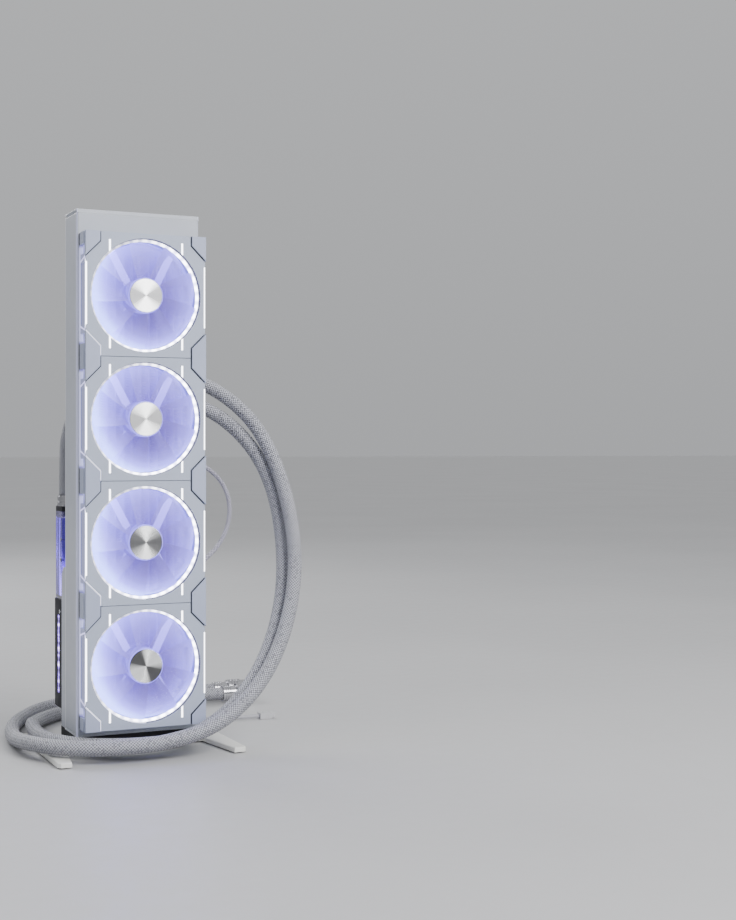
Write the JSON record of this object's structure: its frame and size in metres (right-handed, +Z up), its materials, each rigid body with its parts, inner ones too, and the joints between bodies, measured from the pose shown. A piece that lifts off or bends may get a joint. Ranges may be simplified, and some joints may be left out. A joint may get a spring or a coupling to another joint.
{
  "type": "liquid cooling radiator",
  "caption": "Standing external radiator tower with stacked lit square fans, flat feet, a rear pump and clear reservoir, and sleeved hoses that end in quick couplings.",
  "frame": {"origin": "middle of the footprint on the surface that the feet stand on", "axes": "+X to the right seen from the fans' side, +Y to the back, +Z up"},
  "size_m": [0.3757, 0.3889, 0.619],
  "materials": {
    "case_white": "fine satin powder coat",
    "fan_white": "smooth matte moulding",
    "blade_frosted": "frosted, lit from the rim",
    "hub_metal": "radially brushed",
    "white_light": "frosted light guide, lit",
    "violet_light": "frosted light guide, lit",
    "core_aluminium": "mill finish",
    "polished_metal": "polished",
    "collar_metal": "turned",
    "bearing_brass": "turned",
    "winding_copper": "enamelled windings",
    "dark_steel": "blackened",
    "dark_metal": "matte black",
    "dark_plastic": "fine grain",
    "foot_white": "satin powder coat",
    "pad_rubber": "matte",
    "clear_acrylic": "polished clear acrylic",
    "coolant": "clear liquid",
    "hose_sleeve": "braided sleeve with dark specks",
    "cable_jacket": "smooth jacket",
    "plug_white": "moulded"
  },
  "bodies": {
    "root": {"casing": "case_white", "top_cap": "case_white", "bottom_cap": "case_white", "core_tubes": "core_aluminium", "fin_packs": "core_aluminium", "header_plates": "core_aluminium", "end_tanks": "core_aluminium", "bleed_plug": "polished_metal", "fan_bearings": "bearing_brass", "fan_stators": "winding_copper", "fan_screws": "dark_steel", "corner_covers": "fan_white", "base_plate": "dark_metal", "right_foot": "foot_white", "left_foot": "foot_white", "foot_pads": "pad_rubber", "frame_screws": "dark_steel", "rear_bracket": "case_white", "pump_housing": "dark_plastic", "pump_light": "violet_light", "pump_cover": "dark_plastic", "reservoir_body": "clear_acrylic", "reservoir_lid": "dark_plastic", "coolant": "coolant", "riser_tube": "clear_acrylic", "unit_screws": "polished_metal", "hose_fittings": "polished_metal", "link_tubes": "polished_metal", "link_nuts": "polished_metal", "return_hose": "hose_sleeve", "supply_hose": "hose_sleeve", "return_coupling": "polished_metal", "supply_coupling": "polished_metal", "light_cable": "cable_jacket", "control_cable": "cable_jacket", "cable_glands": "cable_jacket", "control_plug": "plug_white", "fan_1_frame": "fan_white", "fan_1_light_ring": "white_light", "fan_1_light_bars": "white_light", "fan_2_frame": "fan_white", "fan_2_light_ring": "white_light", "fan_2_light_bars": "white_light", "fan_3_frame": "fan_white", "fan_3_light_ring": "white_light", "fan_3_light_bars": "white_light", "fan_4_frame": "fan_white", "fan_4_light_ring": "white_light", "fan_4_light_bars": "white_light"},
    "impeller": {"pump_impeller": "dark_plastic"},
    "return_sleeve": {"return_collar": "collar_metal"},
    "supply_sleeve": {"supply_collar": "collar_metal"},
    "fan_1_turning": {"fan_1_rotor": "blade_frosted", "fan_1_hub_cap": "hub_metal"},
    "fan_2_turning": {"fan_2_rotor": "blade_frosted", "fan_2_hub_cap": "hub_metal"},
    "fan_3_turning": {"fan_3_rotor": "blade_frosted", "fan_3_hub_cap": "hub_metal"},
    "fan_4_turning": {"fan_4_rotor": "blade_frosted", "fan_4_hub_cap": "hub_metal"}
  },
  "joints": [
    {"name": "fan_1_spin", "type": "hinge", "parent": "root", "child": "fan_1_turning", "pos_m": [0, -0.045, 0.521], "axis": [0, 1, 0], "continuous": true},
    {"name": "fan_2_spin", "type": "hinge", "parent": "root", "child": "fan_2_turning", "pos_m": [0, -0.045, 0.381], "axis": [0, 1, 0], "continuous": true},
    {"name": "fan_3_spin", "type": "hinge", "parent": "root", "child": "fan_3_turning", "pos_m": [0, -0.045, 0.241], "axis": [0, 1, 0], "continuous": true},
    {"name": "fan_4_spin", "type": "hinge", "parent": "root", "child": "fan_4_turning", "pos_m": [0, -0.045, 0.101], "axis": [0, 1, 0], "continuous": true},
    {"name": "impeller_spin", "type": "hinge", "parent": "root", "child": "impeller", "pos_m": [-0.039, 0.065, 0.072], "axis": [0, 1, 0], "continuous": true},
    {"name": "return_collar_slide", "type": "slide", "parent": "root", "child": "return_sleeve", "axis": [1, 0, 0], "range_m": [-0.005, 0], "stiffness_N_per_m": 600, "springref_m": 0.001},
    {"name": "supply_collar_slide", "type": "slide", "parent": "root", "child": "supply_sleeve", "axis": [1, 0, 0], "range_m": [-0.005, 0], "stiffness_N_per_m": 600, "springref_m": 0.001}
  ]
}
